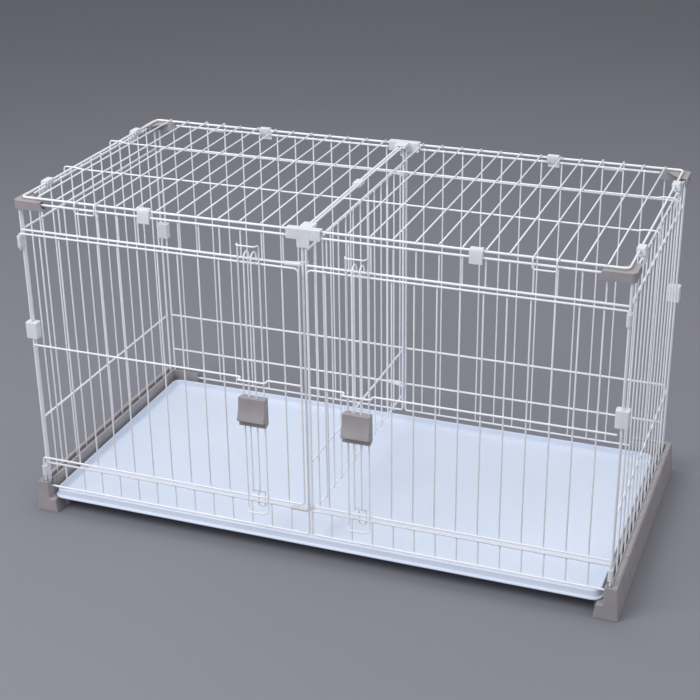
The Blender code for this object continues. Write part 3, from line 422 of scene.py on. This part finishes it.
def divider_panel():
    low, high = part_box("divider_panel")
    front, back = FRONT_Y + DIVIDER_INSET, BACK_Y - DIVIDER_INSET
    runs = [upright(0, y, low[2], high[2], FRAME_R) for y in (front, back)]
    levels = (low[2] + 2 * FRAME_R, LOW_Z, high[2] - 2 * FRAME_R)
    runs += [straight((0, front, z), (0, back, z), FRAME_R) for z in levels]
    for gap in range(1, GAPS):
        runs.append(upright(WELD, bar_y(gap), low[2], high[2]))
    wire_piece("divider_panel_wires", runs, ["divider_panel"])


def roof_panel(name, side):
    wide, tight = 0.009, 0.0045
    edge = arc(ROOF_OUTER_X - wide, ROOF_BACK_Y - wide, wide, 0, 90, 10)
    edge += arc(ROOF_INNER_X + tight, ROOF_BACK_Y - tight, tight, 90, 180, 6)
    edge += arc(ROOF_INNER_X + tight, ROOF_FRONT_Y + tight, tight, 180, 270, 6)
    edge += arc(ROOF_OUTER_X - wide, ROOF_FRONT_Y + wide, wide, 270, 360, 10)
    runs = [([(side * x, y, ROOF_Z) for x, y in edge], FRAME_R, True)]
    for gap in range(1, GAPS):
        x = bar_x(side, gap)
        if gap not in HOOK_GAPS:
            start, end = (x, ROOF_FRONT_Y - BAR_R, ROOF_BAR_Z), (x, ROOF_BACK_Y + BAR_R, ROOF_BAR_Z)
            runs.append(straight(start, end, BAR_R))
    near, far = (bar_x(side, gap) for gap in HOOK_GAPS)
    loop_reach, loop_bottom = 0.008, 0.6795
    low, high = FRONT_Y - loop_reach, BACK_Y + loop_reach
    loop = [
        (near, low, loop_bottom), (near, low, ROOF_BAR_Z),
        (near, high, ROOF_BAR_Z), (near, high, loop_bottom),
        (far, high, loop_bottom), (far, high, ROOF_BAR_Z),
        (far, low, ROOF_BAR_Z), (far, low, loop_bottom),
    ]
    runs.append((bent(loop, 0.005, 6, True), BAR_R, True))
    rail_z, hook_x, hook_bottom = ROOF_BAR_Z - 2 * BAR_R + 0.0006, BAY + 0.0105, 0.680
    rise_start, rise_end = ROOF_OUTER_X - 0.020, ROOF_OUTER_X - 0.009
    rail = [
        (ROOF_INNER_X, rail_z), (rise_start, rail_z), (rise_end, ROOF_BAR_Z), (hook_x, ROOF_BAR_Z),
        (hook_x, hook_bottom),
    ]
    for y in (MIDDLE_Y - RAIL_OFFSET, MIDDLE_Y + RAIL_OFFSET):
        runs.append((bent([(side * x, y, z) for x, z in rail], 0.006, 6), BAR_R, False))
    wire_piece(f"roof_panel_{name}_wires", runs, [f"roof_panel_{name}"])


# Doors and latches


def latch_middle(side):
    return side * (BAY - 11.5 * PITCH)


def door(name, side):
    edge, top, bottom, mid = 0.0085, 0.625, 0.1255, 0.386
    top_pin_end, bottom_pin_end, mid_end = 0.590, 0.064, BAY - 0.0053
    pin_bend, corner = 0.0055, 0.009
    y = DOOR_Y
    points = [
        (PIN_X, y, top_pin_end), (PIN_X, y, top), (edge, y, top), (edge, y, bottom), (PIN_X, y, bottom),
        (PIN_X, y, bottom_pin_end),
    ]
    rounded = bent(points[:3], pin_bend, 6)[:-1]
    rounded += bent(points[1:5], corner, 8)[1:-1]
    rounded += bent(points[3:], pin_bend, 6)[1:]
    runs = [([(side * p[0], p[1], p[2]) for p in rounded], DOOR_R, False)]
    middle = latch_middle(side)
    jog_half, jog_y = 0.0283, y - 0.014
    mid_run = [
        (side * mid_end, y, mid), (middle + side * jog_half, y, mid), (middle + side * jog_half, jog_y, mid),
        (middle - side * jog_half, jog_y, mid), (middle - side * jog_half, y, mid), (side * edge, y, mid),
    ]
    runs.append((bent(mid_run, 0.0035, 6), DOOR_R, False))
    for gap in range(1, GAPS):
        if gap not in GUIDE_GAPS:
            runs.append(upright(bar_x(side, gap), y + DOOR_WELD, bottom - SHORT_END, top + SHORT_END))
    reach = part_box(f"door_{name}")[0][1] + BAR_R
    high, low = 0.663, 0.096
    a, b = (bar_x(side, gap) for gap in GUIDE_GAPS)
    step = math.copysign(0.003, b - a)
    guide = [
        (a, GUIDE_Y, low), (a, GUIDE_Y, high), (a + step, reach, high), (b - step, reach, high),
        (b, GUIDE_Y, high), (b, GUIDE_Y, low), (b - step, reach, low), (a + step, reach, low),
    ]
    runs.append((bent(guide, 0.0045, 6, True), BAR_R, True))
    wire_piece(f"door_{name}_wires", runs, [f"door_{name}"])


def latch_bolt(name, side):
    low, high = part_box(f"latch_bolt_{name}")
    front, back = low[1] + BAR_R, high[1] - BAR_R
    middle = latch_middle(side)
    half = 0.0073
    hook_end, hook_centre = 0.616, HEADER_Z + 0.003
    foot = low[2] + BAR_R + half
    hook = [(back, hook_end)] + arc((front + back) / 2, hook_centre, (back - front) / 2, 0, 180, 16)
    shank = [(0, front, 0.25), (0, front, 0.142), (0, back, 0.130), (0, back, 0.110)]
    lower = [(p[1], p[2]) for p in bent(shank, 0.008, 8)[1:-1]] + [(back, foot)]
    left = [(middle - half, y, z) for y, z in hook + lower]
    right = [(middle + half, y, z) for y, z in hook + lower]
    bow = [(middle + u, back, foot + v) for u, v in arc(0, 0, half, 180, 360, 14)[1:-1]]
    run = (left + bow + right[::-1], BAR_R, False)
    wire_piece(f"latch_bolt_{name}_wire", [run], [f"latch_bolt_{name}"], sides=4)


# The tray's cross-section, from under its floor round the wall to the top of the floor: (inward, up)
TRAY_SECTION = (
    (0.0300, 0.0000), (0.0065, 0.0000), (0.0055, 0.0004), (0.0012, 0.0004), (0.0003, 0.0009),
    (0.0000, 0.0018), (0.0000, 0.0033), (0.0004, 0.0041), (0.0012, 0.0045),
    (0.0036, 0.0046), (0.0045, 0.0050), (0.0049, 0.0060), (0.0050, 0.0165),
    (0.0053, 0.0178), (0.0060, 0.0187), (0.0068, 0.0190), (0.0076, 0.0187),
    (0.0083, 0.0178), (0.0085, 0.0165), (0.0090, 0.0100), (0.0100, 0.0066),
    (0.0120, 0.0043), (0.0150, 0.0033), (0.0190, 0.0030), (0.0400, 0.0030),
)


def tray():
    """A thin pan drawn round its rounded outline from TRAY_SECTION, with a flat flange round its foot."""
    low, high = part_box("tray")
    corner, least_corner, steps = 0.023, 0.004, 10
    shape = bmesh.new()
    rings = []
    for inward, up in TRAY_SECTION:
        x0, y0, x1, y1 = low[0] + inward, low[1] + inward, high[0] - inward, high[1] - inward
        r = max(corner - inward, least_corner)
        edge = arc(x1 - r, y1 - r, r, 0, 90, steps) + arc(x0 + r, y1 - r, r, 90, 180, steps)
        edge += arc(x0 + r, y0 + r, r, 180, 270, steps) + arc(x1 - r, y0 + r, r, 270, 360, steps)
        rings.append([shape.verts.new((x, y, low[2] + up)) for x, y in edge])
    for ring, following in zip(rings, rings[1:]):
        count = len(ring)
        for index in range(count):
            after = (index + 1) % count
            shape.faces.new((ring[index], ring[after], following[after], following[index]))
    shape.faces.new(rings[0][::-1])
    shape.faces.new(rings[-1])
    bmesh.ops.recalc_face_normals(shape, faces=shape.faces)
    keep(mesh_object("tray_pan", shape), ["tray"], TRAY)


for side_name, sign in SIDES:
    front_frame(side_name, sign)
    back_panel(side_name, sign)
    side_panel(side_name, sign)
    roof_panel(side_name, sign)
    door(side_name, sign)
    latch_bolt(side_name, sign)
divider_panel()
tray()

for node_name in BODY_OF:
    if node_name.startswith("foot_"):
        soft_foot(node_name)
    elif node_name.startswith(("base_rail_", "corner_cap_")):
        moulded(node_name, GREY, BASE_EDGE)
    elif node_name.startswith("latch_grip_"):
        moulded(node_name, GREY, GRIP_EDGE)
    elif node_name.startswith(CLIPS):
        moulded(node_name, MILKY, CLIP_EDGE)


# Studio


def studio_floor():
    shape = bmesh.new()
    bmesh.ops.create_grid(shape, x_segments=2, y_segments=2, size=15.0)
    floor = mesh_object("studio_floor", shape)
    floor.location = (0.0, 4.0, 0.0)
    material, tree, shader = nodes_of("paper_floor")
    tone = noise(tree, 0.6, 2.0)
    tinted(tree, shader, tone, (0.3, (0.225, 0.222, 0.250)), (0.7, (0.235, 0.232, 0.260)))
    shader.inputs["Roughness"].default_value = 0.9
    floor.data.materials.append(material)


def softbox(name, place, target, size, power, colour):
    data = bpy.data.lights.new(name, "AREA")
    data.shape = "RECTANGLE"
    data.size, data.size_y = size
    data.energy = power
    data.color = colour
    lamp = add(name, data)
    lamp.location = place
    lamp.rotation_euler = (Vector(target) - Vector(place)).to_track_quat("-Z", "Y").to_euler()


def camera():
    data = bpy.data.cameras.new("camera")
    data.sensor_width = 36.0
    data.lens = 76.33
    eye = add("camera", data)
    right = Vector((0.93682, 0.34964, -0.01131)).normalized()
    forward = Vector((-0.32233, 0.85019, -0.41627)).normalized()
    up = right.cross(forward)
    place = Vector((0.97785, -2.63866 + MIDDLE_Y, 1.62182))
    eye.matrix_world = Matrix.Translation(place) @ Matrix((right, up, -forward)).transposed().to_4x4()
    bpy.context.scene.camera = eye


studio_floor()
camera()
softbox("key", (-1.6, -2.4, 3.0), (0, 0, 0.3), (2.2, 2.2), 92.0, (0.98, 0.985, 1.0))
softbox("fill", (2.6, -1.6, 2.4), (0, 0, 0.3), (2.4, 2.0), 24.0, (0.96, 0.975, 1.0))
softbox("top", (0.0, 1.0, 3.4), (0, 0, 0.2), (3.5, 2.5), 46.0, (0.97, 0.98, 1.0))
world = bpy.data.worlds.new("studio")
world.use_nodes = True
world.node_tree.nodes["Background"].inputs["Color"].default_value = (0.84, 0.87, 0.95, 1.0)
world.node_tree.nodes["Background"].inputs["Strength"].default_value = 0.42
bpy.context.scene.world = world
bpy.context.scene.view_settings.view_transform = "Standard"
